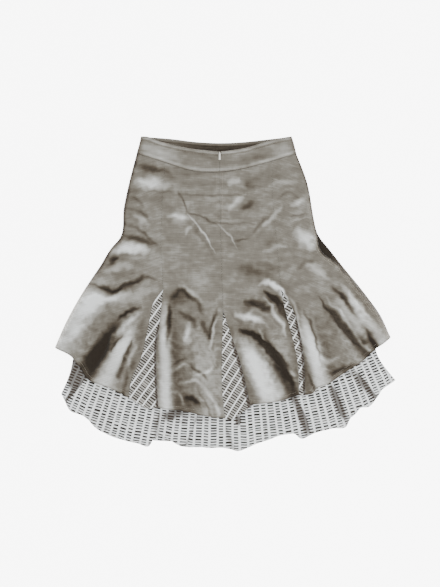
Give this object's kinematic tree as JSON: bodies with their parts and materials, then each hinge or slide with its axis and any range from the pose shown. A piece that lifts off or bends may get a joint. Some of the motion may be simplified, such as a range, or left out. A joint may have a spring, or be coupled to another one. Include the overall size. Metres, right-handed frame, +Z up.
{
  "type": "asymmetric skirt laid flat",
  "caption": "Gored flared linen skirt with check godets over a longer check underskirt, shaped waistband and concealed zip, laid flat with the zip side up.",
  "frame": {"origin": "under the middle of the laid skirt, on the surface that it lies on", "axes": "+X across the skirt to the right as seen, +Y up to the waist, +Z up from the surface"},
  "size_m": [0.8526, 0.788, 0.0326],
  "materials": {
    "linen": "taupe grey linen with a soft sheen and storage creases",
    "check_cloth": "light cloth with off-white stripes and dark dashes between them",
    "zip_tape": "fine brown knitted tape",
    "zip_metal": "brown lacquered metal"
  },
  "bodies": {
    "skirt": {"waistband_zipside_left": "linen", "waistband_zipside_right": "linen", "waistband_plainside": "linen", "gore_outer_left": "linen", "gore_inner_left": "linen", "gore_inner_right": "linen", "gore_outer_right": "linen", "plain_gore_left": "linen", "plain_gore_right": "linen", "godet_left": "check_cloth", "godet_centre": "check_cloth", "godet_right": "check_cloth", "underskirt_zipside": "check_cloth", "underskirt_plainside": "check_cloth", "zip_tape": "zip_tape", "zip_slider": "zip_metal"},
    "pull": {"zip_pull": "zip_metal"}
  },
  "joints": [
    {"name": "pull_hinge", "type": "hinge", "parent": "skirt", "child": "pull", "pos_m": [-0.0138, 0.3518, 0.0102], "axis": [-1, 0, 0], "range_deg": [0, 150]}
  ]
}
